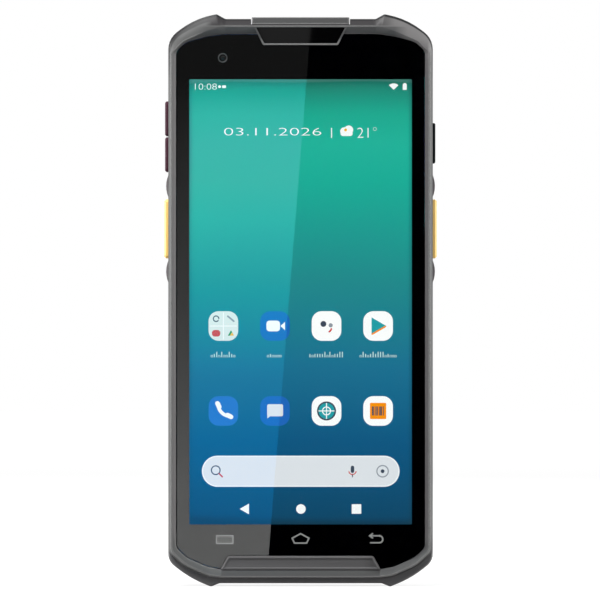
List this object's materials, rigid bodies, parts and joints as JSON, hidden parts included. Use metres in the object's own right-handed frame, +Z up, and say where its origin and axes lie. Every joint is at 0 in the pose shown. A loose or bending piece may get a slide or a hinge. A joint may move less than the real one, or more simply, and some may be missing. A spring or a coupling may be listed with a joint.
{
  "type": "handheld data terminal",
  "caption": "Rugged handheld barcode data terminal: touch screen, scan window in the top end, side triggers and keys, hinged battery door in the back.",
  "frame": {"origin": "centre of the bounding box on the plane that the lower lugs stand on", "axes": "+Z up the device, +X to the right seen from the screen, the screen faces -Y"},
  "size_m": [0.079, 0.016, 0.1654],
  "materials": {
    "housing": "grey moulded plastic with a fine grain",
    "bumper": "dark soft-touch rubber",
    "rear": "charcoal moulded plastic with a fine grain",
    "glass": "clear polished cover glass",
    "print": "black print behind the glass",
    "display": "lit display",
    "inlay": "gloss black",
    "scan_red": "smoked red acrylic",
    "dark_plastic": "black plastic",
    "metal": "cast light alloy",
    "tin": "tinned steel",
    "board": "green circuit board",
    "flex": "amber flexible circuit",
    "key_black": "black keys",
    "trigger_yellow": "yellow-orange trigger pads",
    "pack": "dark grey battery case",
    "seal": "black silicone seal",
    "latch": "amber latch sliders",
    "screw": "blackened steel",
    "lens": "dark coated camera glass",
    "lamp": "pale yellow lamp lens",
    "ring": "grey printed ring"
  },
  "bodies": {
    "handset": {"front_housing": "housing", "bumper_frame": "bumper", "rear_housing": "rear", "cover_glass": "glass", "border_print": "print", "glass_tape": "dark_plastic", "display_panel": "display", "tab_inlay": "inlay", "scan_bezel": "housing", "scan_window": "scan_red", "scan_engine": "tin", "camera_ring": "ring", "front_camera": "lens", "receiver": "tin", "mid_frame": "metal", "main_board": "board", "board_shields": "tin", "sub_board": "board", "usb_port": "tin", "board_flex": "flex", "rear_camera": "lens", "camera_window": "lens", "flash_led": "lamp", "loudspeaker": "dark_plastic", "speaker_mesh": "tin", "microphone": "tin", "vibration_motor": "tin", "battery_connector": "dark_plastic", "battery_pack": "pack", "side_flex_left": "flex", "side_flex_right": "flex", "side_switches": "tin", "housing_screws": "screw"},
    "battery_cover": {"battery_cover": "rear", "cover_seal": "seal"},
    "cover_latch_left": {"cover_latch_left": "latch"},
    "cover_latch_right": {"cover_latch_right": "latch"},
    "volume_up_key": {"volume_up_key": "key_black"},
    "volume_down_key": {"volume_down_key": "key_black"},
    "power_key": {"power_key": "key_black"},
    "left_trigger": {"left_trigger": "trigger_yellow"},
    "right_trigger": {"right_trigger": "trigger_yellow"}
  },
  "joints": [
    {"name": "battery_cover_hinge", "type": "hinge", "parent": "handset", "child": "battery_cover", "pos_m": [0, 0.008, 0.10818], "axis": [1, 0, 0], "range_deg": [0, 60]},
    {"name": "left_latch_slide", "type": "slide", "parent": "battery_cover", "child": "cover_latch_left", "axis": [-1, 0, 0], "range_m": [0, 0.0016]},
    {"name": "right_latch_slide", "type": "slide", "parent": "battery_cover", "child": "cover_latch_right", "axis": [1, 0, 0], "range_m": [0, 0.0016]},
    {"name": "volume_up_key_press", "type": "slide", "parent": "handset", "child": "volume_up_key", "axis": [1, 0, 0], "range_m": [0, 0.0004], "stiffness_N_per_m": 600, "springref_m": -0.0005},
    {"name": "volume_down_key_press", "type": "slide", "parent": "handset", "child": "volume_down_key", "axis": [1, 0, 0], "range_m": [0, 0.0004], "stiffness_N_per_m": 600, "springref_m": -0.0005},
    {"name": "power_key_press", "type": "slide", "parent": "handset", "child": "power_key", "axis": [-1, 0, 0], "range_m": [0, 0.0004], "stiffness_N_per_m": 600, "springref_m": -0.0005},
    {"name": "left_trigger_press", "type": "slide", "parent": "handset", "child": "left_trigger", "axis": [1, 0, 0], "range_m": [0, 0.0006], "stiffness_N_per_m": 600, "springref_m": -0.0005},
    {"name": "right_trigger_press", "type": "slide", "parent": "handset", "child": "right_trigger", "axis": [-1, 0, 0], "range_m": [0, 0.0006], "stiffness_N_per_m": 600, "springref_m": -0.0005}
  ]
}
